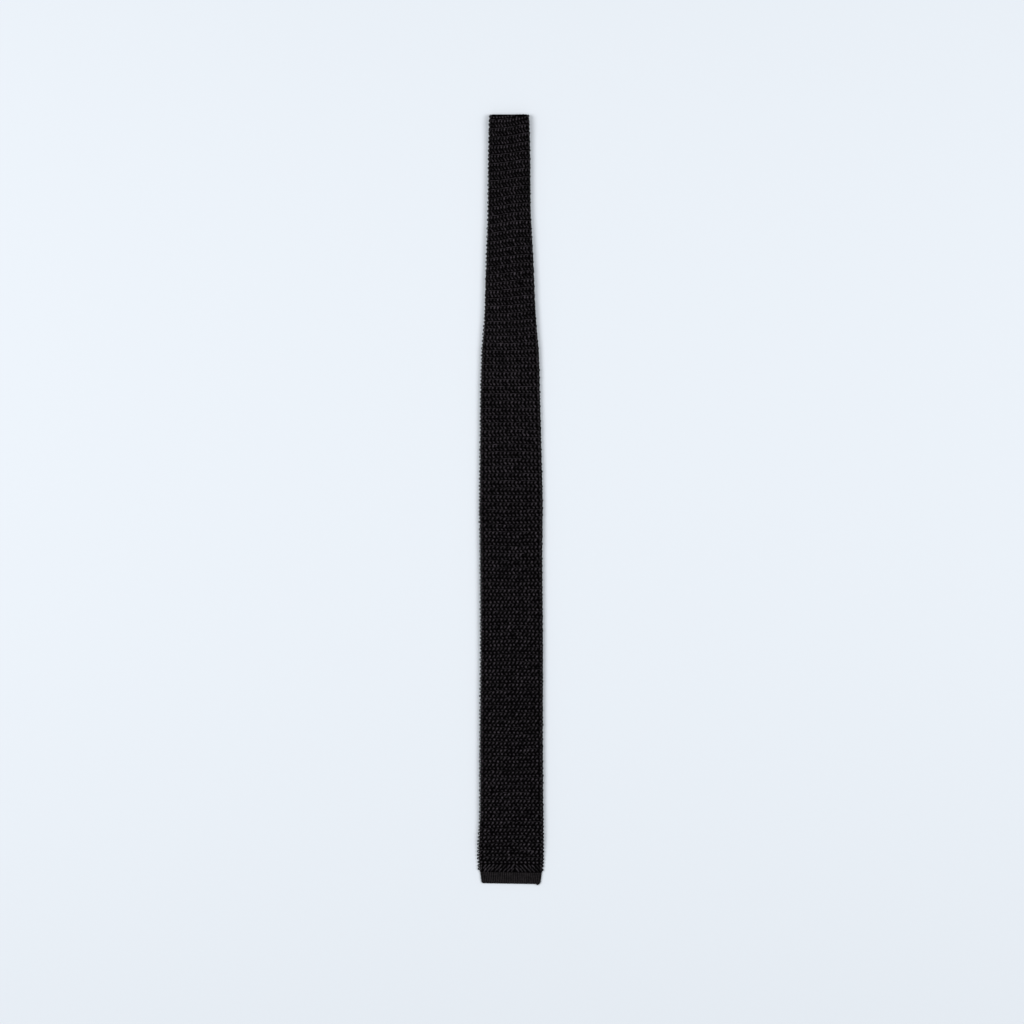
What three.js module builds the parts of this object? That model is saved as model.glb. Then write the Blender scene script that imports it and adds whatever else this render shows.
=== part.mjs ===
// A square-ended knit tie that lies on a table, folded in half: the wide blade is on top,
// and the narrower tail is under it. The body is one long strip of thick knit, from the
// blade's end band over the fold to the tail's end band. Each end band is a thinner, finer
// knit, narrower than the body that it is linked to.
// Lengths are in millimetres. X runs across the tie, Y along it towards the fold, and Z up
// from the table.

import * as THREE from "three";

// Sizes of the tie
const foldedLength = 721; // the blade's lower edge to the fold
const bladeWidth = 60;
const neckWidth = 41; // the stretch that goes round the neck
const tailWidth = 44;
const tailSetback = 46; // how far the tail's end lies short of the blade's end
const knitThickness = 2.8;

// Sizes of the end bands
const bandHeight = 11.2;
const bandThickness = 1.9;
const bandWaist = 1.4; // how much narrower the band starts than the knit above it
const bandTaper = 3; // how much it narrows towards its lower edge
const bandCorner = 1.8; // radius of its lower corners
const bandSkew = 0.9; // how much lower the blade band's right corner lies than its left
const linkGap = 0.3; // between a band and the body

// How the tie lies
const layerGap = 0.4; // between the tail and the blade on it
const foldInnerRadius = 0.8;
const foldPinch = 2.7; // how much narrower the strip is at the fold
const pinchReach = 52; // how far from the fold the strip has its full width again
const foldSwell = 30; // the length over which the layers part before the fold
const sideDroop = 1.3; // how far the blade's sides sag beside the tail
const shoulder = 3; // the length over which the body thins towards a band
const skewReach = 30; // how far up the body the band's skew is still seen

// The blade, from its lower edge (0) to the fold (1). flare goes from the neck's width (0)
// to the blade's (1), and sway is the centre's shift across, as a share of the blade's width.
const bladeShape = [
  { along: 0.0, flare: 1.0, sway: 0.0 },
  { along: 0.016, flare: 1.02, sway: 0.0 },
  { along: 0.04, flare: 1.11, sway: 0.0 },
  { along: 0.087, flare: 1.04, sway: 0.01 },
  { along: 0.174, flare: 1.01, sway: 0.0075 },
  { along: 0.304, flare: 0.98, sway: 0.013 },
  { along: 0.43, flare: 0.97, sway: 0.004 },
  { along: 0.49, flare: 1.02, sway: 0.004 },
  { along: 0.586, flare: 0.9, sway: -0.0055 },
  { along: 0.633, flare: 0.84, sway: -0.01 },
  { along: 0.6875, flare: 0.73, sway: -0.009 },
  { along: 0.711, flare: 0.59, sway: -0.0105 },
  { along: 0.734, flare: 0.45, sway: -0.0115 },
  { along: 0.758, flare: 0.35, sway: -0.014 },
  { along: 0.82, flare: 0.2, sway: -0.019 },
  { along: 0.8825, flare: 0.0, sway: -0.025 },
  { along: 1.0, flare: 0.0, sway: -0.025 },
];

// The tail, from its lower edge (0) to the fold (1). flare goes from the neck's width (0)
// to the tail's (1).
const tailShape = [
  { along: 0.0, flare: 1.0, sway: 0.004 },
  { along: 0.4, flare: 1.0, sway: 0.0 },
  { along: 0.7, flare: 0.1, sway: -0.012 },
  { along: 0.9, flare: -0.35, sway: -0.023 },
  { along: 1.0, flare: 0.0, sway: -0.025 },
];

const foldOuterRadius = foldInnerRadius + knitThickness;
const foldMidRadius = foldInnerRadius + knitThickness / 2;
const foldCentreY = foldedLength / 2 - foldOuterRadius;
const bladeEndY = -foldedLength / 2;
const bladeStart = bladeEndY + bandHeight; // the body's first section
const tailEndY = bladeEndY + tailSetback;
const tailStart = tailEndY + bandHeight; // the body's last section

const smooth = THREE.MathUtils.smoothstep;
const radians = THREE.MathUtils.degToRad;

// Reads one column of a table at a place along it, on a smooth curve through its rows.
function read(table, column, along) {
  let i = 0;
  while (i < table.length - 2 && along > table[i + 1].along) i += 1;
  const slope = (k) => {
    const before = table[Math.max(k - 1, 0)];
    const after = table[Math.min(k + 1, table.length - 1)];
    return (after[column] - before[column]) / (after.along - before.along);
  };
  const span = table[i + 1].along - table[i].along;
  const t = THREE.MathUtils.clamp((along - table[i].along) / span, 0, 1);
  const turn = t * t * (3 - 2 * t);
  const bend = slope(i) * t * (1 - t) * (1 - t) - slope(i + 1) * t * t * (1 - t);
  return table[i][column] * (1 - turn) + table[i + 1][column] * turn + bend * span;
}

// How much narrower the strip is near the fold.
function pinch(y) {
  return foldPinch * Math.max(0, 1 - (foldCentreY - y) / pinchReach) ** 1.6;
}

// Width and middle of the blade, and of the tail, at a place along Y before the fold.
function bladeAcross(y) {
  const along = (y - bladeEndY) / foldedLength;
  const flare = read(bladeShape, "flare", along) * (bladeWidth - neckWidth);
  return { width: neckWidth + flare - pinch(y), x: read(bladeShape, "sway", along) * bladeWidth };
}

function tailAcross(y) {
  const along = (y - tailEndY) / (foldedLength - tailSetback);
  const flare = read(tailShape, "flare", along) * (tailWidth - neckWidth);
  return { width: neckWidth + flare - pinch(y), x: read(tailShape, "sway", along) * bladeWidth };
}

// How far the blade has come up from the table onto the tail, from 0 to 1.
function onTail(y) {
  return smooth(y, bladeStart + shoulder, tailEndY);
}

// The blade's underside above the table. The layers part a little before the fold.
function bladeLift(y) {
  const swell = smooth(y, foldCentreY - foldSwell, foldCentreY);
  return (knitThickness + layerGap) * onTail(y) + (2 * foldInnerRadius - layerGap) * swell;
}

// How far the blade sags at a place across it, beside the tail.
function bladeDroop(y, x) {
  const tail = tailAcross(y);
  const beside = Math.max(0, Math.abs(x - tail.x) - tail.width / 2);
  const share = Math.min(1.3, (2 * beside) / (bladeWidth - tailWidth));
  return sideDroop * share * share * onTail(y);
}

// Points round a section, as (across, up) pairs: two flat faces and two half-round sides.
const faceShares = [-1, -0.82, -0.6, -0.3, 0, 0.3, 0.6, 0.82, 1];
const sideAngles = [60, 30, 0, -30, -60];

function sectionOf(width, thickness) {
  const round = thickness / 2;
  const flat = width / 2 - round;
  const side = sideAngles.map(radians);
  return [
    ...faceShares.map((share) => [share * flat, round]),
    ...side.map((a) => [flat + round * Math.cos(a), round * Math.sin(a)]),
    ...faceShares.map((share) => [-share * flat, -round]),
    ...side.map((a) => [-flat - round * Math.cos(a), -round * Math.sin(a)]),
  ];
}

// A closed strip through stations. A station has its middle, its width and thickness, and
// where it has them: lean, the degrees by which its upper face is turned towards the fold and
// on downwards; skew, how much lower its right side lies than its left; and droop, how far
// the place at x sags.
function strip(stations) {
  const positions = [];
  const rings = stations.map((station) => sectionOf(station.width, station.thickness));
  stations.forEach((station, k) => {
    const { x, y, z, width, lean = 0, skew = 0, droop = () => 0 } = station;
    for (const [across, up] of rings[k]) {
      positions.push(
        x + across,
        y + up * Math.sin(radians(lean)) - (skew * across) / width,
        z + up * Math.cos(radians(lean)) - droop(x + across),
      );
    }
  });
  const count = rings[0].length;
  const index = [];
  for (let k = 0; k + 1 < stations.length; k += 1) {
    for (let i = 0; i < count; i += 1) {
      const a = k * count + i;
      const b = k * count + ((i + 1) % count);
      index.push(a, b, b + count, a, b + count, a + count);
    }
  }
  const contours = rings.map((ring) => ring.map((point) => new THREE.Vector2(...point)));
  for (const [a, b, c] of THREE.ShapeUtils.triangulateShape(contours[0], [])) {
    index.push(a, b, c);
  }
  const last = (stations.length - 1) * count;
  for (const [a, b, c] of THREE.ShapeUtils.triangulateShape(contours.at(-1), [])) {
    index.push(last + a, last + c, last + b);
  }
  const geometry = new THREE.BufferGeometry();
  geometry.setAttribute("position", new THREE.Float32BufferAttribute(positions, 3));
  geometry.setIndex(index);
  geometry.computeVertexNormals();
  return geometry;
}

// Evenly spaced values from one to another, both included.
function steps(from, to, count) {
  return Array.from({ length: count + 1 }, (_, i) => from + ((to - from) * i) / count);
}

// The body's thickness at a distance from the band that it is linked to.
function bodyThickness(distance) {
  return bandThickness + (knitThickness - bandThickness) * smooth(distance, 0, shoulder);
}

function bladeStation(y) {
  const thickness = bodyThickness(y - bladeStart);
  return {
    ...bladeAcross(y),
    y,
    z: bladeLift(y) + thickness / 2,
    thickness,
    skew: bandSkew * (1 - smooth(y, bladeStart, bladeStart + skewReach)),
    droop: (x) => bladeDroop(y, x),
  };
}

function foldStation(lean) {
  return {
    ...bladeAcross(foldCentreY),
    y: foldCentreY + foldMidRadius * Math.sin(radians(lean)),
    z: foldOuterRadius + foldMidRadius * Math.cos(radians(lean)),
    thickness: knitThickness,
    lean,
  };
}

function tailStation(y) {
  const thickness = bodyThickness(y - tailStart);
  return { ...tailAcross(y), y, z: thickness / 2, thickness, lean: 180 };
}

function bodyStations() {
  const swellStart = foldCentreY - foldSwell;
  const blade = [
    ...steps(bladeStart, bladeStart + shoulder, 2),
    ...steps(bladeStart + shoulder, tailEndY, 6).slice(1),
    ...steps(tailEndY, swellStart, 44).slice(1),
    ...steps(swellStart, foldCentreY, 5).slice(1, -1),
  ];
  const tail = [
    ...steps(foldCentreY, swellStart, 4).slice(1),
    ...steps(swellStart, tailStart + shoulder, 20).slice(1),
    ...steps(tailStart + shoulder, tailStart, 2).slice(1),
  ];
  return [
    ...blade.map(bladeStation),
    ...steps(0, 180, 8).map(foldStation),
    ...tail.map(tailStation),
  ];
}

// An end band, from its lower edge up: a rounded edge and corners, then a straight taper up
// to the body, whose width and middle it starts from.
const rimShare = 0.3; // thickness of the band's very edge, as a share of its own

function bandStations(endY, body, skew) {
  const edge = bandThickness / 2;
  const heights = [
    ...steps(0, 90, 4).map((a) => edge * (1 - Math.cos(radians(a)))),
    ...steps(Math.max(edge, bandCorner), bandHeight - linkGap, 3).slice(bandCorner > edge ? 0 : 1),
  ];
  return heights.map((height) => {
    const corner = Math.max(0, 1 - height / bandCorner);
    const cut = bandCorner * (1 - Math.sqrt(1 - corner * corner));
    const rim = Math.max(0, 1 - height / edge);
    return {
      x: body.x,
      y: endY + height,
      z: bandThickness / 2,
      width: body.width - bandWaist - bandTaper * (1 - height / bandHeight) - 2 * cut,
      thickness: bandThickness * Math.max(rimShare, Math.sqrt(1 - rim * rim)),
      skew,
    };
  });
}

function piece(name, stations, color, roughness) {
  const material = new THREE.MeshStandardMaterial({ color, roughness, metalness: 0 });
  const mesh = new THREE.Mesh(strip(stations), material);
  mesh.name = name;
  return mesh;
}

const tie = new THREE.Group();
tie.add(
  piece("knit_body", bodyStations(), 0x161416, 0.75),
  piece("blade_end_band", bandStations(bladeEndY, bladeAcross(bladeStart), bandSkew), 0x1d1a1c, 0.8),
  piece("tail_end_band", bandStations(tailEndY, tailAcross(tailStart), 0), 0x1d1a1c, 0.8),
);

// The origin is on the table, under the middle of the folded tie.
const box = new THREE.Box3().setFromObject(tie);
const middle = box.getCenter(new THREE.Vector3());
tie.position.set(-middle.x, -middle.y, -box.min.z);

export default tie;
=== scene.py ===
"""A black knit tie, folded in half and lying flat, seen from straight above.

The tie is one strip of coarse knit. Its ground is a thin sheet with the strip's own shape,
and on it stand the stitches, each with two legs of silk yarn. Every second course stands
tall and leans to the right, or upright near the fold. The courses between are short and lean
to the left. Loops of yarn run along both edges. The bands at the two ends are a fine knit.
Lengths are in metres. X runs across the tie, Y along it towards the fold, Z up.
"""

import math

import bpy
import numpy as np
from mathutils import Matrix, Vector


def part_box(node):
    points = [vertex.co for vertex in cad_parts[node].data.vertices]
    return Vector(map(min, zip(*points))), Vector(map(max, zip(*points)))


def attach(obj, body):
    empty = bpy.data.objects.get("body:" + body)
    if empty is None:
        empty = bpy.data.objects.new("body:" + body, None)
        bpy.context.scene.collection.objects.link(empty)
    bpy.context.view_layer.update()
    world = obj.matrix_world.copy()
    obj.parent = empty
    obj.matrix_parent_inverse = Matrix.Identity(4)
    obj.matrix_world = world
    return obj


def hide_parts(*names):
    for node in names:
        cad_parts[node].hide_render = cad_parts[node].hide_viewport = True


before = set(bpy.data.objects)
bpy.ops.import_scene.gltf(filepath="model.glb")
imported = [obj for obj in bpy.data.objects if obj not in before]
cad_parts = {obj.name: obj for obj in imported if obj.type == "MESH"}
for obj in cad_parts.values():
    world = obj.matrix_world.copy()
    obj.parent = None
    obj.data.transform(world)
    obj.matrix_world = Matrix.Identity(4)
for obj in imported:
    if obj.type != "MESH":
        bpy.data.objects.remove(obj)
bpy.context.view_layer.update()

MM = 0.001
SEED = 20
rng = np.random.default_rng(SEED)

# Sizes of the tie
FOLDED_LENGTH = 0.721
BLADE_WIDTH = 0.060
NECK_WIDTH = 0.041
TAIL_WIDTH = 0.044
TAIL_SETBACK = 0.046
KNIT_THICKNESS = 0.0028
BAND_HEIGHT = 0.0112
BAND_THICKNESS = 0.0019
BAND_WAIST = 0.0014
BAND_TAPER = 0.003
BAND_CORNER = 0.0018
BAND_SKEW = 0.0009

# How the tie lies
LAYER_GAP = 0.0004
FOLD_INNER_RADIUS = 0.0008
FOLD_PINCH = 0.0027
PINCH_REACH = 0.052
PINCH_POWER = 1.6
FOLD_SWELL = 0.030
SIDE_DROOP = 0.0013
DROOP_MOST = 1.3  # the largest share of the way out beside the tail that the droop follows
SHOULDER = 0.003
SKEW_REACH = 0.030

BLADE_SHAPE = [
    {"along": 0.0, "flare": 1.0, "sway": 0.0},
    {"along": 0.016, "flare": 1.02, "sway": 0.0},
    {"along": 0.04, "flare": 1.11, "sway": 0.0},
    {"along": 0.087, "flare": 1.04, "sway": 0.01},
    {"along": 0.174, "flare": 1.01, "sway": 0.0075},
    {"along": 0.304, "flare": 0.98, "sway": 0.013},
    {"along": 0.43, "flare": 0.97, "sway": 0.004},
    {"along": 0.49, "flare": 1.02, "sway": 0.004},
    {"along": 0.586, "flare": 0.9, "sway": -0.0055},
    {"along": 0.633, "flare": 0.84, "sway": -0.01},
    {"along": 0.6875, "flare": 0.73, "sway": -0.009},
    {"along": 0.711, "flare": 0.59, "sway": -0.0105},
    {"along": 0.734, "flare": 0.45, "sway": -0.0115},
    {"along": 0.758, "flare": 0.35, "sway": -0.014},
    {"along": 0.82, "flare": 0.2, "sway": -0.019},
    {"along": 0.8825, "flare": 0.0, "sway": -0.025},
    {"along": 1.0, "flare": 0.0, "sway": -0.025},
]

TAIL_SHAPE = [
    {"along": 0.0, "flare": 1.0, "sway": 0.004},
    {"along": 0.4, "flare": 1.0, "sway": 0.0},
    {"along": 0.7, "flare": 0.1, "sway": -0.012},
    {"along": 0.9, "flare": -0.35, "sway": -0.023},
    {"along": 1.0, "flare": 0.0, "sway": -0.025},
]

FOLD_OUTER_RADIUS = FOLD_INNER_RADIUS + KNIT_THICKNESS
FOLD_MID_RADIUS = FOLD_INNER_RADIUS + KNIT_THICKNESS / 2
FOLD_CENTRE_Y = FOLDED_LENGTH / 2 - FOLD_OUTER_RADIUS
BLADE_END_Y = -FOLDED_LENGTH / 2
BLADE_START_Y = BLADE_END_Y + BAND_HEIGHT
TAIL_END_Y = BLADE_END_Y + TAIL_SETBACK
TAIL_START_Y = TAIL_END_Y + BAND_HEIGHT

# Runs along the strip, from the blade's band over the fold to the tail's band
BLADE_RUN = FOLD_CENTRE_Y - BLADE_START_Y
FOLD_RUN = math.pi * FOLD_MID_RADIUS
TAIL_RUN = FOLD_CENTRE_Y - TAIL_START_Y
WHOLE_RUN = BLADE_RUN + FOLD_RUN + TAIL_RUN


def smooth(x, low, high):
    """0 below low, 1 above high, and a smooth rise between."""
    t = np.clip((x - low) / (high - low), 0.0, 1.0)
    return t * t * (3 - 2 * t)


def read(table, column, along):
    """One column of a table at places along it, on a smooth curve through its rows."""
    at = np.array([row["along"] for row in table])
    value = np.array([row[column] for row in table])
    slope = np.gradient(value, at)
    slope[1:-1] = (value[2:] - value[:-2]) / (at[2:] - at[:-2])
    i = np.clip(np.searchsorted(at, along, side="right") - 1, 0, len(at) - 2)
    span = at[i + 1] - at[i]
    t = np.clip((along - at[i]) / span, 0.0, 1.0)
    turn = t * t * (3 - 2 * t)
    bend = slope[i] * t * (1 - t) ** 2 - slope[i + 1] * t * t * (1 - t)
    return value[i] * (1 - turn) + value[i + 1] * turn + bend * span


def pinch(y):
    """How much narrower the strip is near the fold."""
    return FOLD_PINCH * np.maximum(0.0, 1 - (FOLD_CENTRE_Y - y) / PINCH_REACH) ** PINCH_POWER


def blade_across(y):
    """Width and middle of the blade at a place along Y."""
    along = (y - BLADE_END_Y) / FOLDED_LENGTH
    flare = read(BLADE_SHAPE, "flare", along) * (BLADE_WIDTH - NECK_WIDTH)
    return NECK_WIDTH + flare - pinch(y), read(BLADE_SHAPE, "sway", along) * BLADE_WIDTH


def tail_across(y):
    """Width and middle of the tail at a place along Y."""
    along = (y - TAIL_END_Y) / (FOLDED_LENGTH - TAIL_SETBACK)
    flare = read(TAIL_SHAPE, "flare", along) * (TAIL_WIDTH - NECK_WIDTH)
    return NECK_WIDTH + flare - pinch(y), read(TAIL_SHAPE, "sway", along) * BLADE_WIDTH


def on_tail(y):
    """How far the blade has come up from the table onto the tail, from 0 to 1."""
    return smooth(y, BLADE_START_Y + SHOULDER, TAIL_END_Y)


def blade_lift(y):
    """The blade's underside above the table."""
    swell = smooth(y, FOLD_CENTRE_Y - FOLD_SWELL, FOLD_CENTRE_Y)
    return (KNIT_THICKNESS + LAYER_GAP) * on_tail(y) + (2 * FOLD_INNER_RADIUS - LAYER_GAP) * swell


def blade_droop(y, x):
    """How far the blade sags at a place across it, beside the tail."""
    width, middle = tail_across(y)
    beside = np.maximum(0.0, np.abs(x - middle) - width / 2)
    share = np.minimum(DROOP_MOST, 2 * beside / (BLADE_WIDTH - TAIL_WIDTH))
    return SIDE_DROOP * share * share * on_tail(y)


def half_thickness(q):
    """Half the knit's thickness. It thins towards the bands."""
    from_band = np.minimum(q, WHOLE_RUN - q)
    full = BAND_THICKNESS + (KNIT_THICKNESS - BAND_THICKNESS) * smooth(from_band, 0.0, SHOULDER)
    return full / 2


def to_fold(q):
    """How far a run is from the middle of the fold."""
    return np.abs(q - BLADE_RUN - FOLD_RUN / 2)


def across(q):
    """Width and middle of the strip at a run q along it."""
    y = flat_y(q)
    blade = blade_across(y)
    tail = tail_across(y)
    is_tail = q > BLADE_RUN + FOLD_RUN
    return np.where(is_tail, tail[0], blade[0]), np.where(is_tail, tail[1], blade[1])


def flat_y(q):
    """The place along Y at a run q. The fold's own run is all at its centre."""
    past = np.maximum(q - BLADE_RUN - FOLD_RUN, 0.0)
    return np.where(q <= BLADE_RUN, BLADE_START_Y + q, FOLD_CENTRE_Y - past)


def spot(q, x, up):
    """The point at a run q, x across from the strip's middle line, up from its middle surface."""
    y = flat_y(q)
    width, middle = across(q)
    half = half_thickness(q)
    turn = np.clip((q - BLADE_RUN) / FOLD_MID_RADIUS, 0.0, math.pi)
    on_blade = q <= BLADE_RUN
    in_fold = (turn > 0) & (turn < math.pi)
    level = np.where(on_blade, blade_lift(y) + half, half)
    level = np.where(in_fold, FOLD_OUTER_RADIUS + FOLD_MID_RADIUS * np.cos(turn), level)
    skew = BAND_SKEW * (1 - smooth(y, BLADE_START_Y, BLADE_START_Y + SKEW_REACH)) * x / width
    droop = blade_droop(y, x + middle)
    return np.stack(
        [
            x + middle + SHIFT_X,
            y + (FOLD_MID_RADIUS + up) * np.sin(turn) - np.where(on_blade, skew, 0.0) + SHIFT_Y,
            level + up * np.cos(turn) - np.where(on_blade, droop, 0.0),
        ],
        axis=-1,
    )


def face_spot(q, u, h, face):
    """The point at a run q, u across over the surface, h above it. It goes round the edges.

    face is 1 on the strip's outer side, the blade's top and the tail's underside, and -1 inside.
    """
    width, _ = across(q)
    half = half_thickness(q)
    flat = width / 2 - half
    reach = np.abs(u)
    angle = np.clip((reach - flat) / half, 0.0, math.pi)
    out = half + h
    x = np.minimum(reach, flat) + out * np.sin(angle)
    return spot(q, np.sign(u) * x, face * out * np.cos(angle))


# The frame's own place: its box gives the middle of the folded tie
BLADE_SAMPLES = 900
BLADE_YS = np.linspace(BLADE_START_Y, FOLD_CENTRE_Y, BLADE_SAMPLES)
SHIFT_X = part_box("knit_body")[1][0] - (blade_across(BLADE_YS)[1] + blade_across(BLADE_YS)[0] / 2).max()
SHIFT_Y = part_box("knit_body")[1][1] - FOLDED_LENGTH / 2


# Meshes


def add_mesh(name, shape, material):
    """A smooth-shaded mesh object from a shape, which is a dict of points, faces, uv and the mask of
    painted light and shade.
    """
    mesh = bpy.data.meshes.new(name)
    points, faces = shape["points"], shape["faces"]
    loops = np.concatenate([f.ravel() for f in faces]).astype(np.int32)
    sizes = np.concatenate([np.full(len(f), f.shape[1]) for f in faces])
    starts = np.concatenate([[0], np.cumsum(sizes)[:-1]]).astype(np.int32)
    mesh.vertices.add(len(points))
    mesh.vertices.foreach_set("co", points.astype(np.float32).ravel())
    mesh.loops.add(len(loops))
    mesh.loops.foreach_set("vertex_index", loops)
    mesh.polygons.add(len(sizes))
    mesh.polygons.foreach_set("loop_start", starts)
    mesh.polygons.foreach_set("use_smooth", np.ones(len(sizes), dtype=bool))
    if "uv" in shape:
        layer = mesh.uv_layers.new(name="yarn")
        layer.data.foreach_set("uv", shape["uv"][loops].astype(np.float32).ravel())
    # The mask of painted light and shade goes on the points, for the material's colour
    if "painted_light" in shape:
        painted_light = mesh.attributes.new("painted_light", "FLOAT", "POINT")
        painted_light.data.foreach_set("value", shape["painted_light"].astype(np.float32))
    mesh.update(calc_edges=True)
    mesh.validate()
    mesh.materials.append(material)
    obj = bpy.data.objects.new(name, mesh)
    bpy.context.scene.collection.objects.link(obj)
    return obj


def ring_faces(first, rings, sides):
    """Quads between the rings of tubes whose points start at first, and a cap at each end."""
    k = np.arange(rings - 1)[None, :, None] * sides
    i = np.arange(sides)[None, None, :]
    j = (i + 1) % sides
    start = first[:, None, None]
    quads = np.stack([start + k + i, start + k + j, start + k + sides + j, start + k + sides + i], -1)
    near = first[:, None] + np.arange(sides)[::-1]
    far = first[:, None] + (rings - 1) * sides + np.arange(sides)
    return [quads.reshape(-1, 4), near, far]


def tubes(centres, radii, sides, reference=(0.0, 0.0, 1.0)):
    """Closed tubes along many centre lines at once.

    centres is (tubes, rings, 3) and radii (tubes, rings). reference is a direction that no
    tube runs along. The uv is metres along the yarn, and turns round it.
    """
    count, rings, _ = centres.shape
    ahead = np.gradient(centres, axis=1)
    ahead /= np.linalg.norm(ahead, axis=-1, keepdims=True)
    aside = np.cross(ahead, np.array(reference))
    aside /= np.linalg.norm(aside, axis=-1, keepdims=True)
    over = np.cross(aside, ahead)
    angle = 2 * math.pi * np.arange(sides) / sides + math.pi / 2
    ring = (
        np.cos(angle)[:, None] * aside[:, :, None, :] + np.sin(angle)[:, None] * over[:, :, None, :]
    )
    points = centres[:, :, None, :] + radii[:, :, None, None] * ring
    steps = np.linalg.norm(np.diff(centres, axis=1), axis=-1)
    length = np.concatenate([np.zeros((count, 1)), np.cumsum(steps, axis=1)], axis=1)
    turns = np.arange(sides)[None, None, :] / sides
    uv = np.stack(np.broadcast_arrays(length[:, :, None], turns), axis=-1)
    faces = ring_faces(np.arange(count) * rings * sides, rings, sides)
    return {"points": points.reshape(-1, 3), "faces": faces, "uv": uv.reshape(-1, 2)}


def turned(shape):
    """The same shape with its faces turned over, for a tube that is laid down mirrored."""
    return {**shape, "faces": [faces[:, ::-1] for faces in shape["faces"]]}


def join(shapes):
    """Several shapes as one."""
    by_size, offset = {}, 0
    for shape in shapes:
        for faces in shape["faces"]:
            by_size.setdefault(faces.shape[1], []).append(faces + offset)
        offset += len(shape["points"])
    whole = {name: np.concatenate([s[name] for s in shapes]) for name in ("points", "uv", "painted_light")}
    whole["faces"] = [np.concatenate(faces) for faces in by_size.values()]
    return whole


def path_columns(path, names, rings):
    """The named columns of a short table of path points, at rings spread evenly along it."""
    at = np.linspace(0, len(path) - 1, rings)
    return [np.interp(at, range(len(path)), [row[name] for row in path]) for name in names]


def painted_light(depth):
    """1 at the knit's outer surface and 0 at the roots of the stitches, by depth in metres. This mask
    paints light on the crowns and shade at the roots into the yarn's colour.
    """
    return 1 - smooth(depth, CROWN_DEPTH, ROOT_DEPTH)


def dress(piece):
    """The piece rides with the tie."""
    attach(piece, "root")
    return piece


# Materials
# Depths over which the yarn's colour goes from painted light on the crowns to painted shade at the roots
CROWN_DEPTH = -0.1 * MM
ROOT_DEPTH = 1.2 * MM
PAINTED_LIGHT_RANGE = (0.22, 0.95)  # mask values between which the colour turns from the roots' painted shade to the crowns' painted light
NOISE_RANGE = (0.3, 0.7)  # what a noise texture mostly gives
PATCH_SCALE = 420.0
PATCH_TONES = (0.5, 1.6)  # darkest and lightest patch, as shares of the yarn's tone
TWIST_SCALE = (700.0, 2.0, 1.0)  # how far the yarn's uv is stretched along it and round it
TWIST_WAVE = 0.5
RIDGE_DEPTH = 0.15 * MM
FIBRE_SCALE = 5200.0
FUZZ_DEPTH = 0.08 * MM
THREAD_SCALE = 900.0
THREAD_RANGE = (0.35, 0.7)
# The ground's two colours, both painted near black as the shade deep between the stitches, darker than
# the silk; the noise mixes them at random
SHADED_THREAD_DARK = (0.0005, 0.0004, 0.0005)
SHADED_THREAD_LIGHT = (0.0026, 0.0022, 0.0026)


def yarn_material(name, roots, crowns, roughness, specular):
    """Twisted black silk, its colour painted dark at the roots of the stitches as shade and lighter on
    their crowns as painted light and sheen.
    """
    material = bpy.data.materials.new(name)
    material.use_nodes = True
    nodes, links = material.node_tree.nodes, material.node_tree.links
    shader = nodes["Principled BSDF"]
    shader.inputs["Roughness"].default_value = roughness
    shader.inputs["Specular IOR Level"].default_value = specular
    place = nodes.new("ShaderNodeTexCoord")
    # Painted light and shade: the mask blends the colour from the roots' painted shade to the crowns'
    # painted light
    height = nodes.new("ShaderNodeAttribute")
    height.attribute_name = "painted_light"
    ramp = nodes.new("ShaderNodeValToRGB")
    low, high = ramp.color_ramp.elements
    low.position, high.position = PAINTED_LIGHT_RANGE
    low.color, high.color = (*roots, 1), (*crowns, 1)
    links.new(height.outputs["Fac"], ramp.inputs["Fac"])
    patches = nodes.new("ShaderNodeTexNoise")
    patches.inputs["Scale"].default_value = PATCH_SCALE
    patches.inputs["Detail"].default_value = 2.0
    links.new(place.outputs["Object"], patches.inputs["Vector"])
    uneven = nodes.new("ShaderNodeMapRange")
    uneven.inputs["From Min"].default_value, uneven.inputs["From Max"].default_value = NOISE_RANGE
    uneven.inputs["To Min"].default_value, uneven.inputs["To Max"].default_value = PATCH_TONES
    links.new(patches.outputs["Fac"], uneven.inputs["Value"])
    tone = nodes.new("ShaderNodeVectorMath")
    tone.operation = "SCALE"
    links.new(ramp.outputs["Color"], tone.inputs["Vector"])
    links.new(uneven.outputs["Result"], tone.inputs["Scale"])
    links.new(tone.outputs["Vector"], shader.inputs["Base Color"])

    yarn = nodes.new("ShaderNodeUVMap")
    yarn.uv_map = "yarn"
    twist = nodes.new("ShaderNodeMapping")
    twist.inputs["Scale"].default_value = TWIST_SCALE
    wave = nodes.new("ShaderNodeTexWave")
    wave.bands_direction = "DIAGONAL"
    wave.inputs["Scale"].default_value = TWIST_WAVE
    ridges = nodes.new("ShaderNodeBump")
    ridges.inputs["Strength"].default_value = 0.5
    ridges.inputs["Distance"].default_value = RIDGE_DEPTH
    links.new(yarn.outputs["UV"], twist.inputs["Vector"])
    links.new(twist.outputs["Vector"], wave.inputs["Vector"])
    links.new(wave.outputs["Fac"], ridges.inputs["Height"])
    fibres = nodes.new("ShaderNodeTexNoise")
    fibres.inputs["Scale"].default_value = FIBRE_SCALE
    links.new(place.outputs["Object"], fibres.inputs["Vector"])
    fuzz = nodes.new("ShaderNodeBump")
    fuzz.inputs["Strength"].default_value = 0.35
    fuzz.inputs["Distance"].default_value = FUZZ_DEPTH
    links.new(fibres.outputs["Fac"], fuzz.inputs["Height"])
    links.new(ridges.outputs["Normal"], fuzz.inputs["Normal"])
    links.new(fuzz.outputs["Normal"], shader.inputs["Normal"])
    return material


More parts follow.
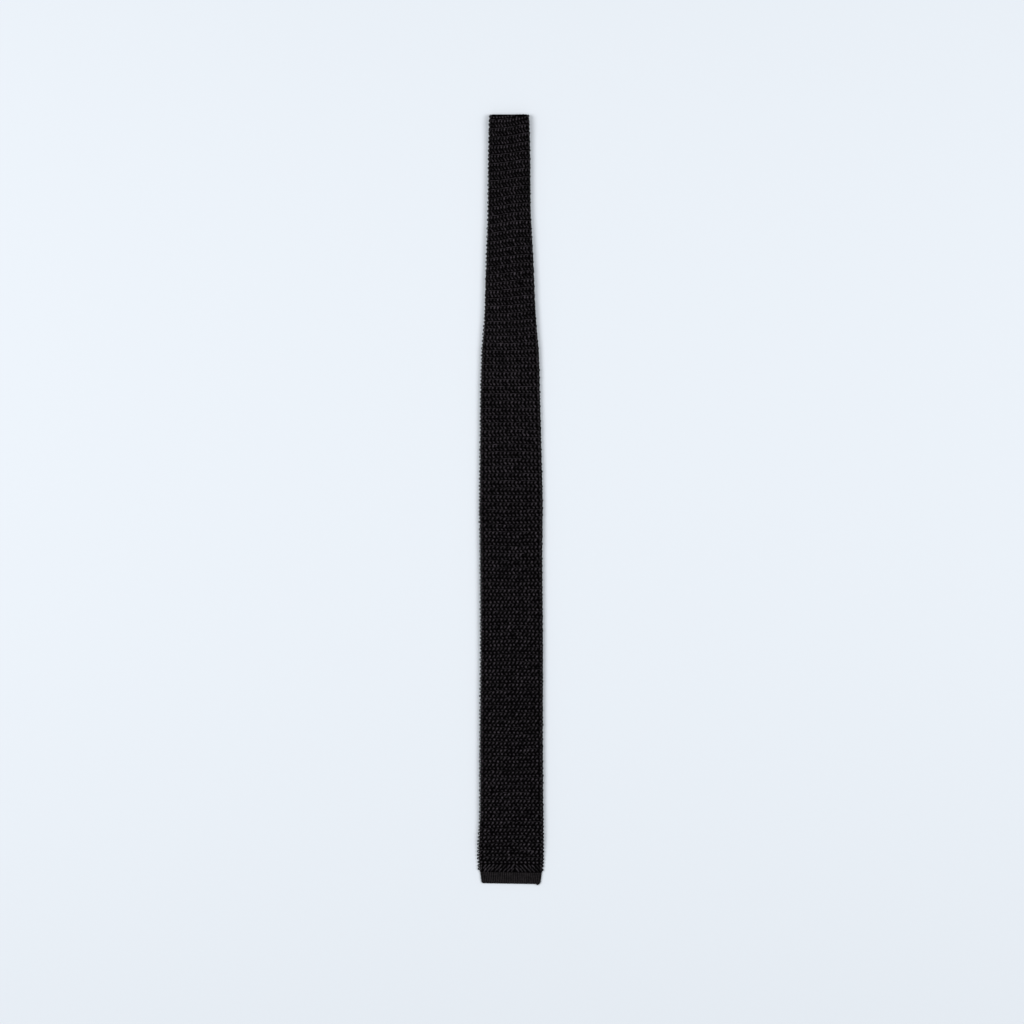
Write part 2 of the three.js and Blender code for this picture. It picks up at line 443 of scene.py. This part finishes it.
def shaded_ground_material():
    """The inner yarns, deep between the stitches. Their colour is painted near black as the shade there,
    darker than the silk itself.
    """
    material = bpy.data.materials.new("shaded_ground_silk")
    material.use_nodes = True
    nodes, links = material.node_tree.nodes, material.node_tree.links
    shader = nodes["Principled BSDF"]
    shader.inputs["Roughness"].default_value = 0.9
    shader.inputs["Specular IOR Level"].default_value = 0.0
    place = nodes.new("ShaderNodeTexCoord")
    threads = nodes.new("ShaderNodeTexNoise")
    threads.inputs["Scale"].default_value = THREAD_SCALE
    links.new(place.outputs["Object"], threads.inputs["Vector"])
    ramp = nodes.new("ShaderNodeValToRGB")
    low, high = ramp.color_ramp.elements
    low.position, high.position = THREAD_RANGE
    low.color, high.color = (*SHADED_THREAD_DARK, 1), (*SHADED_THREAD_LIGHT, 1)
    links.new(threads.outputs["Fac"], ramp.inputs["Fac"])
    links.new(ramp.outputs["Color"], shader.inputs["Base Color"])
    return material


# Each silk's roots colour is painted shade, and its crowns colour painted light and sheen
SILK = yarn_material(
    "black_silk",
    roots=(0.0016, 0.0013, 0.0016),
    crowns=(0.0392, 0.0330, 0.0395),
    roughness=0.55,
    specular=0.15,
)
BAND_SILK = yarn_material(
    "band_silk",
    roots=(0.0020, 0.0018, 0.0019),
    crowns=(0.0142, 0.0119, 0.0130),
    roughness=0.6,
    specular=0.12,
)
SHADED_GROUND_SILK = shaded_ground_material()

# The ground
GROUND_HALF = 0.40 * MM
GROUND_FOLD_HALF = 0.90 * MM  # round the fold, where the ground shows between the stitches
GROUND_STEP = 6 * MM
GROUND_FOLD_SECTIONS = 9
GROUND_POINTS = 19  # across one of its faces
GROUND_MOST = 0.75  # of the strip's half thickness, which the ground never passes
GROUND_RIM = 0.35  # how thick its two edges are, as a share of its thickness
GROUND_INSET_LEFT = 1.25 * MM  # clear of the eyelets
GROUND_INSET_RIGHT = 0.9 * MM


def ground():
    """The thin sheet that the stitches stand on, closed all round."""
    steps = np.linspace(0.0, WHOLE_RUN, round(WHOLE_RUN / GROUND_STEP))
    fold = BLADE_RUN + FOLD_RUN * np.linspace(0, 1, GROUND_FOLD_SECTIONS)
    runs = np.sort(np.concatenate([steps[(steps < fold[0]) | (steps > fold[-1])], fold]))
    shares = np.linspace(0, 1, GROUND_POINTS)
    width, _ = across(runs)
    left = -width / 2 + GROUND_INSET_LEFT
    right = width / 2 - GROUND_INSET_RIGHT
    upper = left[:, None] + (right - left)[:, None] * shares
    x = np.concatenate([upper, upper[:, ::-1]], axis=1)
    at_fold = 1 - smooth(to_fold(runs), FOLD_RUN / 2, FOLD_RUN)
    half = GROUND_HALF + (GROUND_FOLD_HALF - GROUND_HALF) * at_fold
    half = np.minimum(half, GROUND_MOST * half_thickness(runs))[:, None]
    rim = np.where((shares == 0) | (shares == 1), GROUND_RIM, 1.0)
    up = np.concatenate([half * rim, -half * rim], axis=1)
    run = np.broadcast_to(runs[:, None], x.shape)
    faces = ring_faces(np.array([0]), len(runs), x.shape[1])
    shape = {"points": spot(run, x, up).reshape(-1, 3), "faces": faces}
    # The sheet is painted near black, as the shade between the stitches
    return add_mesh("knit_ground", shape, SHADED_GROUND_SILK)


# Stitches
ROW_PITCH_WIDE = 3.39 * MM  # where the strip is as wide as the blade
ROW_PITCH_NARROW = 4.05 * MM  # where it is as narrow as the neck
FIRST_ROW = 0.66  # of a row's height above the band
COLUMNS_WIDE = 16.0
COLUMNS_NARROW = 13.5
NARROWING = (NECK_WIDTH, 55 * MM)  # widths between which the stitches change
EDGE_ROOM = 0.7 * MM  # outside the columns, on each side, for the edge loops
OUTERMOST = (COLUMNS_WIDE - 1) / 2
YARN = 0.122  # radius of a leg, as a share of the column's width
LEG_SPREAD = 0.105  # from a stitch's middle to each leg, as a share of the column's width
FANNED_ROWS = 2  # next to the blade's band, where the stitches lean towards one column
FAN_COLUMN = 1  # right of the middle
EDGE_WRAP = 0.45 * math.pi  # the angle that the columns go round the strip's edge
ROW_CLIMB = 2.0 * MM  # how far a row climbs from its middle to its right end near the fold
CLIMB_CHANGE = (0.66, 0.80)  # shares of the folded length between which the climb grows
CLIMB_FADE = 100 * MM  # past the blade's own run, where the climb fades again
ROW_RIPPLE = 0.45 * MM
RIPPLE_RADIAN = 31 * MM  # run for each radian of the ripple
RIPPLE_START = 1.0  # the ripple's angle at the blade's band
RIPPLE_REACH = 30 * MM  # from a band to where the rows ripple fully
FOLD_RAISE = 0.2 * MM  # how much higher the stitches stand where they are bent round the fold

# The middle line of a stitch. a is across, as a share of the column's width, b is along, as a
# share of the row's height, h is the height over the surface in mm, and r the radius of the
# legs as a share of the yarn's. Low on the blade a tall stitch leans far out at its foot, and
# near the fold a short one does at its head.
TALL_LOW = [
    {"a": -0.56, "b": -0.66, "h": -1.20, "r": 0.85},
    {"a": -0.45, "b": -0.46, "h": -1.10, "r": 0.92},
    {"a": -0.29, "b": -0.20, "h": -1.06, "r": 0.96},
    {"a": -0.17, "b": 0.00, "h": -0.52, "r": 1.05},
    {"a": -0.13, "b": 0.11, "h": -0.50, "r": 1.00},
    {"a": -0.06, "b": 0.30, "h": -1.30, "r": 0.80},
]
TALL_HIGH = [
    {"a": -0.20, "b": -0.42, "h": -1.25, "r": 0.80},
    {"a": -0.19, "b": -0.27, "h": -1.05, "r": 0.92},
    {"a": -0.17, "b": -0.10, "h": -0.60, "r": 1.05},
    {"a": -0.15, "b": 0.06, "h": -0.53, "r": 1.05},
    {"a": -0.13, "b": 0.20, "h": -0.76, "r": 1.00},
    {"a": -0.11, "b": 0.36, "h": -1.20, "r": 0.80},
]
SHORT_LOW = [
    {"a": 0.15, "b": -0.30, "h": -1.25, "r": 0.80},
    {"a": 0.13, "b": -0.14, "h": -0.80, "r": 0.98},
    {"a": 0.12, "b": -0.02, "h": -0.50, "r": 1.05},
    {"a": 0.10, "b": 0.08, "h": -0.60, "r": 1.02},
    {"a": 0.07, "b": 0.19, "h": -1.08, "r": 0.95},
    {"a": 0.02, "b": 0.36, "h": -1.25, "r": 0.80},
]
SHORT_HIGH = [
    {"a": 0.24, "b": -0.28, "h": -1.30, "r": 0.80},
    {"a": 0.20, "b": -0.14, "h": -0.80, "r": 0.98},
    {"a": 0.17, "b": -0.02, "h": -0.48, "r": 1.05},
    {"a": 0.09, "b": 0.08, "h": -0.85, "r": 1.00},
    {"a": -0.22, "b": 0.34, "h": -0.97, "r": 0.95},
    {"a": -0.52, "b": 0.64, "h": -1.04, "r": 0.88},
]
FANNED = [
    {"a": -0.46, "b": -0.74, "h": -0.58, "r": 0.80},
    {"a": -0.30, "b": -0.38, "h": -0.82, "r": 0.84},
    {"a": -0.14, "b": -0.14, "h": -0.72, "r": 0.88},
    {"a": 0.03, "b": 0.10, "h": -0.68, "r": 0.90},
    {"a": 0.19, "b": 0.32, "h": -0.84, "r": 0.85},
    {"a": 0.34, "b": 0.54, "h": -1.20, "r": 0.75},
]

# How stitches differ from each other, as standard deviations: size and tone as shares, place
# in rows and columns, lean in columns over a row's height, and depth in metres
SIZE_NOISE = 0.09
TONE_NOISE = 0.10
PLACE_NOISE = 0.045
LEAN_NOISE = 0.06
DEPTH_NOISE = 0.10 * MM

EDGE_LEAN = 0.3  # how much the stitches at the very edge lean, as a share of the others' lean
LEAN_REACH = (1 * MM, 4.5 * MM)  # in from the edge, where the lean grows
LEAN_CHANGE = (0.2, 0.85)  # shares of the folded length between which the leans change


def row_pitch(q):
    """How far apart the rows are. They spread where the strip is drawn narrow."""
    width, _ = across(q)
    return ROW_PITCH_NARROW + (ROW_PITCH_WIDE - ROW_PITCH_NARROW) * smooth(width, *NARROWING)


def column_pitch(q):
    """How far apart the columns are. The outermost go under where the strip narrows."""
    width, _ = across(q)
    columns = COLUMNS_NARROW + (COLUMNS_WIDE - COLUMNS_NARROW) * smooth(width, *NARROWING)
    return (width - 2 * EDGE_ROOM) / columns


def row_runs():
    """The run of every row of stitches, from the blade's band to the tail's.

    The tail's rows are spread a little, so that the last lies by its band as the first does.
    """
    runs = [FIRST_ROW * ROW_PITCH_WIDE]
    while runs[-1] < WHOLE_RUN - (1 + FIRST_ROW) * ROW_PITCH_WIDE:
        runs.append(runs[-1] + float(row_pitch(np.array(runs[-1]))))
    runs = np.array(runs)
    fold_end = BLADE_RUN + FOLD_RUN
    stretch = (WHOLE_RUN - FIRST_ROW * ROW_PITCH_WIDE - fold_end) / (runs[-1] - fold_end)
    return np.where(runs > fold_end, fold_end + (runs - fold_end) * stretch, runs)


ROWS = row_runs()
FOLD_ROW = int(np.searchsorted(ROWS, BLADE_RUN + FOLD_RUN / 2))


def length_share(q):
    """Where a run lies on the folded tie, from its lower edge (0) to the fold (1)."""
    return (flat_y(q) - BLADE_END_Y) / FOLDED_LENGTH


def row_wave(q, u):
    """How far a row is shifted along at a place across it."""
    width, _ = across(q)
    climb = ROW_CLIMB * smooth(length_share(q), *CLIMB_CHANGE)
    climb = climb * (1 - smooth(q, BLADE_RUN, BLADE_RUN + CLIMB_FADE))
    from_band = np.minimum(q, WHOLE_RUN - q)
    ripple = ROW_RIPPLE * smooth(from_band, 0.0, RIPPLE_REACH)
    ripple = ripple * np.sin(q / RIPPLE_RADIAN + RIPPLE_START)
    return climb * np.sin(math.pi * u / width) + ripple * np.cos(2 * math.pi * u / width)


def stitch_grid(rows, keep=None):
    """Where the stitches of some rows are, and how large, as flat arrays."""
    columns = np.arange(-OUTERMOST, OUTERMOST + 1)
    row, column = np.meshgrid(rows, columns, indexing="ij")
    q = ROWS[row]
    wide = column_pitch(q)
    u = column * wide
    width, _ = across(q)
    half = half_thickness(q)
    inside = np.abs(u) <= width / 2 - half + EDGE_WRAP * half
    if keep is not None:
        inside &= keep(q, u)
    fields = {"q": q + row_wave(q, u), "u": u, "wide": wide, "tall": row_pitch(q)}
    fields["fan"] = np.where((row < FANNED_ROWS) & (column > FAN_COLUMN), -1.0, 1.0)
    fields["lean"] = EDGE_LEAN + (1 - EDGE_LEAN) * smooth(width / 2 - np.abs(u), *LEAN_REACH)
    fields["change"] = smooth(length_share(q), *LEAN_CHANGE)
    fields["raised"] = FOLD_RAISE * (1 - smooth(to_fold(q), FOLD_RUN / 2, FOLD_RUN))
    return {name: values[inside][:, None] for name, values in fields.items()}


def stitches(name, rows, low, high, rings, sides, face=1, keep=None):
    """One piece of stitches: the two legs of each stitch of some rows, each a closed tube."""
    grid = stitch_grid(rows, keep)
    count = len(grid["q"])
    size = 1 + SIZE_NOISE * rng.standard_normal((count, 1))
    shift = PLACE_NOISE * rng.standard_normal((2, count, 1))
    tilt = LEAN_NOISE * rng.standard_normal((count, 1))
    sunk = DEPTH_NOISE * np.abs(rng.standard_normal((count, 1))) - grid["raised"]
    tone = TONE_NOISE * rng.standard_normal(count)
    change = grid["change"]
    a, b, h, r = (
        below * (1 - change) + above * change
        for below, above in zip(path_columns(low, "abhr", rings), path_columns(high, "abhr", rings))
    )
    legs = []
    for leg in (-1, 1):
        run = grid["q"] + grid["tall"] * (size * b + shift[0])
        side = grid["fan"] * grid["lean"] * (a + tilt * b) + shift[1] + leg * LEG_SPREAD * r
        centres = np.stack([run, grid["u"] + grid["wide"] * side, h * MM - sunk], axis=-1)
        shape = tubes(centres, YARN * grid["wide"] * r * size, sides)
        # Painted light on the stitch's crown and painted shade at its roots, by depth, with a random
        # tone for each stitch
        shape["painted_light"] = painted_light(-shape["points"][:, 2]) + np.repeat(tone, rings * sides)
        shape["points"] = face_spot(*shape["points"].T, face)
        legs.append(shape if face == 1 else turned(shape))
    return dress(add_mesh(name, join(legs), SILK))


# Cross strands
CROSS_YARN = 0.42 * MM
CROSS_PLACE = 0.44  # over a tall row, as a share of the row's height
CROSS_DEPTH = (1.17 * MM, 0.93 * MM)  # of the middle line, low on the blade and near the fold
CROSS_COVER = 0.1 * MM  # the least depth of the yarn's top
CROSS_RIPPLE = 0.12 * MM  # along the strip, once for each column
CROSS_NOISE = (0.12 * MM, 0.20 * MM)  # along the strip and in depth, as standard deviations
CROSS_RINGS = 33
CROSS_SIDES = 5


def cross_strands(name, rows):
    """The yarn that runs straight across between a tall row and the short row over it."""
    q = (ROWS[rows] + CROSS_PLACE * row_pitch(ROWS[rows]))[:, None]
    width, _ = across(q)
    left = -width / 2 + GROUND_INSET_LEFT + CROSS_YARN
    right = width / 2 - GROUND_INSET_RIGHT - CROSS_YARN
    u = left + (right - left) * np.linspace(0, 1, CROSS_RINGS)
    along_noise, depth_noise = CROSS_NOISE
    ripple = CROSS_RIPPLE * np.cos(2 * math.pi * u / column_pitch(q))
    ripple = ripple + along_noise * rng.standard_normal(u.shape)
    run = q + row_wave(q, u) + ripple
    change = smooth(length_share(q), *LEAN_CHANGE)
    low_depth, high_depth = CROSS_DEPTH
    depth = low_depth + (high_depth - low_depth) * change + depth_noise * rng.standard_normal(u.shape)
    depth = np.maximum(depth, CROSS_YARN + CROSS_COVER)
    centres = np.stack([run, u, -depth], axis=-1)
    shape = tubes(centres, np.full(u.shape, CROSS_YARN), CROSS_SIDES)
    # Painted shade on the strands, deep between the stitches, by depth
    shape["painted_light"] = painted_light(-shape["points"][:, 2])
    shape["points"] = face_spot(*shape["points"].T, 1)
    return dress(add_mesh(name, shape, SILK))


# Edges
EDGE_YARN = 0.54 * MM
EDGE_SIDES = 6
EDGE_PAINTED_LIGHT = 0.25  # painted light on the edge loops: lower than on the stitches' crowns, a painted shade
# the filling behind the loops gets even less painted light, as painted shade
FILLING_PAINTED_LIGHT = 0.15
HEM_CHANGE = (0.03, 0.11)  # shares of the folded length, over which the hem's reach fades

# How far in from the strip's edge its yarn begins, in mm: at the loops that stand out, low on
# the blade and near the fold, and at the filling behind the loops. The loops between are
# "behind" farther in, and those at the hem are "hem" farther out. eyelets is the share of the
# loops that are open, low on the blade and near the fold. side is a sign across.
EDGES = [
    {"name": "left_edge_loops", "side": -1, "outer": (-0.52, -0.26), "behind": 0.30, "hem": 0.5,
     "filling": 0.85, "eyelets": (0.60, 0.25)},
    {"name": "right_edge_loops", "side": 1, "outer": (0.05, 0.15), "behind": 0.40, "hem": 0.3,
     "filling": 0.65, "eyelets": (0.0, 0.0)},
]

# A loop, from the strip's upper face out and back to its lower face. b is along, as a share of
# the row's height, e in from the loop's outermost point and up from the middle of the strip's
# thickness, both in mm.
EDGE_LOOP = [
    {"b": -0.17, "e": 2.60, "up": 0.75},
    {"b": -0.22, "e": 1.60, "up": 0.60},
    {"b": -0.22, "e": 0.75, "up": 0.45},
    {"b": -0.13, "e": 0.12, "up": 0.25},
    {"b": 0.00, "e": 0.00, "up": 0.00},
    {"b": 0.13, "e": 0.12, "up": -0.25},
    {"b": 0.22, "e": 0.75, "up": -0.45},
    {"b": 0.22, "e": 1.60, "up": -0.60},
    {"b": 0.17, "e": 2.60, "up": -0.75},
]
FILLING_FROM = 0.24  # a row's filling starts here over an open loop, as a share of its height
FILLING_TO = 0.76
FILLING_RINGS = 4

# How loops and their filling differ, as standard deviations: the loops' size as a share, and the
# rest in metres
LOOP_SIZE_NOISE = 0.12
LOOP_PLACE_NOISE = 0.15 * MM
LOOP_REACH_NOISE = 0.12 * MM
FILLING_NOISE = 0.12 * MM


def edge_tubes(side, run, inward, up, painted_light_level):
    """Tubes along an edge. side is -1 on the left and 1 on the right."""
    run = np.clip(run, 0.0, WHOLE_RUN)
    x = side * (across(run)[0] / 2 - EDGE_YARN - inward)
    centres = np.stack(np.broadcast_arrays(run, x, up), axis=-1)
    shape = tubes(centres, np.full(x.shape, EDGE_YARN), EDGE_SIDES)
    # One even level of painted light over these tubes; a low level paints them in shade
    shape["painted_light"] = np.full(len(shape["points"]), painted_light_level)
    shape["points"] = spot(*shape["points"].T)
    return shape


def edge_loops(edge, rows):
    """One edge of the strip: a loop at each row, and the yarn behind the loops."""
    count = len(rows)
    tall = row_pitch(ROWS[rows])[:, None]
    q = ROWS[rows][:, None] + LOOP_PLACE_NOISE * rng.standard_normal((count, 1))
    change = smooth(length_share(q), *LEAN_CHANGE)
    by_hem = 1 - smooth(length_share(q), *HEM_CHANGE)
    low_reach, high_reach = edge["outer"]
    reach = low_reach + (high_reach - low_reach) * change - edge["hem"] * by_hem
    behind = np.where(rows[:, None] % 2 == 0, 0.0, edge["behind"]) * (1 - by_hem)
    reach = (reach + behind) * MM + LOOP_REACH_NOISE * rng.standard_normal((count, 1))
    size = 1 + LOOP_SIZE_NOISE * rng.standard_normal((count, 1))
    b, e, up = path_columns(EDGE_LOOP, ("b", "e", "up"), len(EDGE_LOOP))
    loops = edge_tubes(edge["side"], q + size * tall * b, reach + e * MM, up * MM, EDGE_PAINTED_LIGHT)
    low_share, high_share = edge["eyelets"]
    eyelets = low_share + (high_share - low_share) * change
    start = np.where(rng.random((count, 1)) < eyelets, FILLING_FROM, -FILLING_FROM)
    run = q + tall * (start + (FILLING_TO - start) * np.linspace(0, 1, FILLING_RINGS))
    inward = edge["filling"] * MM + FILLING_NOISE * rng.standard_normal(run.shape)
    filling = edge_tubes(edge["side"], run, inward, 0.0, FILLING_PAINTED_LIGHT)
    return dress(add_mesh(edge["name"], join([loops, filling]), SILK))


# End bands
BAND_COLUMN = 1.85 * MM
BAND_ROW = 1.5 * MM
BAND_YARN = 0.36 * MM
BAND_SIDES = 5
BAND_FILL = 0.985  # of the band's half width, which its stitches cover
BAND_LOWEST = 0.15 * MM  # the lowest that a stitch's middle line lies in the band
BAND_LEAST = 0.02 * MM  # the least that a stitch stands from the band's middle
BAND_LAP = 0.3 * MM  # how far the top row laps over the knit
BAND_NOISE = 0.03  # in a stitch's place, as a standard deviation in rows and columns
BAND_CORE_HALF = 0.55 * MM
BAND_CORE_INSET = 0.5 * MM
BAND_CORE_POINTS = 15  # across one of its faces
BAND_CORE_RIM = 0.4  # how thick its two sides are, as a share of its thickness
BAND_LEG = [
    {"a": 0.04, "b": -0.66, "h": -0.80, "r": 0.85},
    {"a": 0.09, "b": -0.30, "h": -0.42, "r": 1.0},
    {"a": 0.14, "b": 0.05, "h": -0.36, "r": 1.0},
    {"a": 0.19, "b": 0.40, "h": -0.42, "r": 1.0},
    {"a": 0.23, "b": 0.66, "h": -0.80, "r": 0.85},
]

# The sections of a band's core: their height in the band, in mm, and their share of its thickness
BAND_CORE = [
    {"v": 0.25, "thick": 0.5},
    {"v": 0.5, "thick": 0.85},
    {"v": 1.0, "thick": 1.0},
    {"v": 1.9, "thick": 1.0},
    {"v": 4.5, "thick": 1.0},
    {"v": 8.0, "thick": 1.0},
    {"v": BAND_HEIGHT / MM, "thick": 1.0},
]


def band_spot(band, v, share, up):
    """The point at a height v in a band, a share of its half width across, and up from its middle."""
    corner = np.maximum(0.0, 1 - v / BAND_CORNER)
    cut = BAND_CORNER * (1 - np.sqrt(np.maximum(0.0, 1 - corner**2)))
    taper = BAND_TAPER * (1 - v / BAND_HEIGHT)
    half_width = (band["width"] - BAND_WAIST - taper) / 2 - cut
    x = share * half_width
    y = band["end"] + v - band["skew"] * x / (2 * half_width)
    z = BAND_THICKNESS / 2 + up
    return np.stack([band["x"] + x + SHIFT_X, y + SHIFT_Y, z], axis=-1)


def band_surface(band, v, share):
    """Half the band's thickness at a place on it: full, and rounded off at its edges."""
    half = BAND_THICKNESS / 2
    to_side = (1 - np.abs(share)) * band["width"] / 2
    beside = np.clip(1 - to_side / half, 0.0, 1.0)
    below = np.clip(1 - v / half, 0.0, 1.0)
    return half * np.sqrt(1 - beside**2) * np.sqrt(1 - below**2)


def band_core(band):
    """The closed sheet inside a band."""
    heights = np.array([section["v"] for section in BAND_CORE]) * MM
    thick = BAND_CORE_HALF * np.array([section["thick"] for section in BAND_CORE])
    inset = 1 - 2 * BAND_CORE_INSET / band["width"]
    shares = inset * np.linspace(-1, 1, BAND_CORE_POINTS)
    ring = np.concatenate([shares, shares[::-1]])
    rim = np.where(np.abs(ring) == inset, BAND_CORE_RIM, 1.0)
    up = thick[:, None] * rim * np.repeat([1.0, -1.0], BAND_CORE_POINTS)
    v = np.broadcast_to(heights[:, None], up.shape)
    points = band_spot(band, v, ring[None, :], up).reshape(-1, 3)
    faces = ring_faces(np.array([0]), len(heights), len(ring))
    # The core is painted near black, as the shade between the band's stitches
    core = add_mesh(band["name"] + "_core", {"points": points, "faces": faces}, SHADED_GROUND_SILK)
    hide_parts(band["node"])
    return dress(core)


def band_stitches(band):
    """The fine stitches on both faces of a band, in columns that read as fine ribs."""
    columns = round(band["width"] / BAND_COLUMN)
    rows = round(BAND_HEIGHT / BAND_ROW)
    row, column = np.meshgrid(np.arange(rows), np.arange(columns) - (columns - 1) / 2, indexing="ij")
    row, column = row.reshape(-1, 1), column.reshape(-1, 1)
    wide = 2 / columns * BAND_FILL
    a, b, h, r = path_columns(BAND_LEG, "abhr", len(BAND_LEG))
    legs = []
    for face in (1, -1):
        shift = BAND_NOISE * rng.standard_normal((2, row.size, 1))
        for hand in (1, -1):
            v = np.clip(BAND_ROW * (row + 0.5 + b + shift[0]), BAND_LOWEST, BAND_HEIGHT + BAND_LAP)
            share = np.clip(wide * (column + hand * a + shift[1]), -BAND_FILL, BAND_FILL)
            high = np.broadcast_to(h * MM, v.shape)
            centres = np.stack([v, share * band["width"] / 2, high], axis=-1)
            shape = tubes(centres, np.broadcast_to(BAND_YARN * r, v.shape), BAND_SIDES)
            v, x, high = shape["points"].T
            share = np.clip(2 * x / band["width"], -1, 1)
            up = np.maximum(band_surface(band, v, share) + high, BAND_LEAST)
            # Painted light on the band stitches' crowns and painted shade at their roots, by depth
            shape["painted_light"] = painted_light(-high)
            shape["points"] = band_spot(band, v, share, face * up)
            legs.append(shape if face == 1 else turned(shape))
    return dress(add_mesh(band["name"] + "_stitches", join(legs), BAND_SILK))


CORNER_KNOT_YARN = 0.36 * MM
CORNER_KNOT_SIZE = (0.8 * MM, 0.65 * MM, 0.45 * MM)  # half of it across, along and up
CORNER_KNOT_PLACE = (0.915, 0.35 * MM)  # share of the band's half width, and height in it
CORNER_KNOT_LIFT = 0.35 * MM  # over the band's middle
CORNER_KNOT_SWING = 0.35  # how far the yarn swings in and out, as a share of the knot's size
# an even level of painted light on the knot
CORNER_KNOT_PAINTED_LIGHT = 0.6
CORNER_KNOT_RINGS = 37
CORNER_KNOT_SIDES = 7
CORNER_KNOT_REFERENCE = (0.1, 0.2, 1.0)  # a direction that its yarn doesn't run along


def corner_knot(band):
    """The small knot in which the yarn ends, at the band's lower right corner."""
    turn = np.linspace(0, 2 * math.pi, CORNER_KNOT_RINGS)
    loop = 1 + CORNER_KNOT_SWING * np.cos(3 * turn)
    local = np.stack([loop * np.cos(2 * turn), loop * np.sin(2 * turn), np.sin(3 * turn)], axis=-1)
    share, v = CORNER_KNOT_PLACE
    middle = band_spot(band, np.array(v), np.array(share), np.array(CORNER_KNOT_LIFT))
    centres = middle + local * np.array(CORNER_KNOT_SIZE)
    radii = np.full((1, len(turn)), CORNER_KNOT_YARN)
    shape = turned(tubes(centres[None], radii, CORNER_KNOT_SIDES, CORNER_KNOT_REFERENCE))
    shape["painted_light"] = np.full(len(shape["points"]), CORNER_KNOT_PAINTED_LIGHT)
    return dress(add_mesh("corner_knot", shape, BAND_SILK))


# The pieces
FRONT_LEG = (6, 5)  # rings and sides of a stitch's leg on the blade's front
TAIL_LEG = (5, 5)  # on the tail's underside
BACK_LEG = (5, 4)  # on the blade's underside
HIDDEN_ROWS = 8  # next to the fold, whose underside is closed in
UNDER_TAIL = 4 * MM  # how far the blade's underside has stitches in behind the tail

knit_ground = dress(ground())
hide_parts("knit_body")

rows = np.arange(len(ROWS))
is_tall = rows % 2 == 1
on_front = (rows >= FANNED_ROWS) & (rows < FOLD_ROW)
on_back = rows < FOLD_ROW - HIDDEN_ROWS
past_fold = rows >= FOLD_ROW


def beside_tail(q, u):
    """True on the blade's underside where the tail doesn't cover it."""
    y = flat_y(q)
    width, _ = tail_across(y)
    return (np.abs(u) > width / 2 - UNDER_TAIL) | (y < TAIL_END_Y + UNDER_TAIL)


TALL = (TALL_LOW, TALL_HIGH)
SHORT = (SHORT_LOW, SHORT_HIGH)
knit = [
    stitches("blade_fanned_stitches", rows[:FANNED_ROWS], FANNED, FANNED, *FRONT_LEG),
    stitches("blade_tall_stitches", rows[on_front & is_tall], *TALL, *FRONT_LEG),
    stitches("blade_short_stitches", rows[on_front & ~is_tall], *SHORT, *FRONT_LEG),
    stitches("tail_tall_stitches", rows[past_fold & is_tall], *TALL, *TAIL_LEG),
    stitches("tail_short_stitches", rows[past_fold & ~is_tall], *SHORT, *TAIL_LEG),
    stitches("blade_back_tall", rows[on_back & is_tall], *TALL, *BACK_LEG, -1, beside_tail),
    stitches("blade_back_short", rows[on_back & ~is_tall], *SHORT, *BACK_LEG, -1, beside_tail),
    cross_strands("blade_cross_strands", rows[on_front & is_tall]),
    cross_strands("tail_cross_strands", rows[past_fold & is_tall][:-1]),
]
knit += [edge_loops(edge, rows[:-1]) for edge in EDGES]

blade_width, blade_middle = (float(v) for v in blade_across(np.array(BLADE_START_Y)))
tail_width, tail_middle = (float(v) for v in tail_across(np.array(TAIL_START_Y)))
BANDS = [
    {"name": "blade_band", "node": "blade_end_band", "end": BLADE_END_Y, "width": blade_width,
     "x": blade_middle, "skew": BAND_SKEW},
    {"name": "tail_band", "node": "tail_end_band", "end": TAIL_END_Y, "width": tail_width,
     "x": tail_middle, "skew": 0.0},
]
for band in BANDS:
    knit += [band_core(band), band_stitches(band)]
knit.append(corner_knot(BANDS[0]))


# Floor, light and camera
FLOOR_SIZE = 8.0
FLOOR_DROP = 0.1 * MM
LIGHT_SIZE = 1.4
LIGHTS = [
    {"name": "left_light", "place": (-1.5, 0.15, 2.0), "power": 33.3},
    {"name": "right_light", "place": (1.5, 0.15, 2.0), "power": 29.4},
]
SKY_COLOUR = (0.96, 0.98, 1.0, 1.0)
SKY_STRENGTH = 0.4


def floor():
    """A plain pale table top."""
    bpy.ops.mesh.primitive_plane_add(size=FLOOR_SIZE, location=(0.0, 0.0, -FLOOR_DROP))
    top = bpy.context.object
    top.name = "floor"
    material = bpy.data.materials.new("pale_top")
    material.use_nodes = True
    shader = material.node_tree.nodes["Principled BSDF"]
    shader.inputs["Base Color"].default_value = (0.745, 0.787, 0.836, 1.0)
    shader.inputs["Roughness"].default_value = 0.9
    shader.inputs["Specular IOR Level"].default_value = 0.1
    top.data.materials.append(material)
    return top


def area_light(name, place, power):
    """A large soft light that points at the middle of the tie."""
    light = bpy.data.lights.new(name, "AREA")
    light.size = LIGHT_SIZE
    light.energy = power
    lamp = bpy.data.objects.new(name, light)
    lamp.location = place
    lamp.rotation_euler = lamp.location.normalized().to_track_quat("Z", "Y").to_euler()
    bpy.context.scene.collection.objects.link(lamp)


top = floor()
for light in LIGHTS:
    area_light(**light)
world = bpy.data.worlds.new("studio")
world.use_nodes = True
sky = world.node_tree.nodes["Background"]
sky.inputs["Color"].default_value = SKY_COLOUR
sky.inputs["Strength"].default_value = SKY_STRENGTH
bpy.context.scene.world = world
bpy.context.scene.view_settings.view_transform = "Standard"

# The photo is 0.96 m wide. The camera hangs over it, a little below the tie's middle.
FRAME_WIDTH = 0.96
CAMERA_LENS = 90.0
CAMERA_SENSOR = 36.0
CAMERA_X = 0.0009
CAMERA_Y = -0.0119
CAMERA_HEIGHT = FRAME_WIDTH * CAMERA_LENS / CAMERA_SENSOR
camera_data = bpy.data.cameras.new("camera")
camera_data.lens = CAMERA_LENS
camera_data.sensor_width = CAMERA_SENSOR
camera = bpy.data.objects.new("camera", camera_data)
camera.location = (CAMERA_X, CAMERA_Y, CAMERA_HEIGHT)
bpy.context.scene.collection.objects.link(camera)
bpy.context.scene.camera = camera
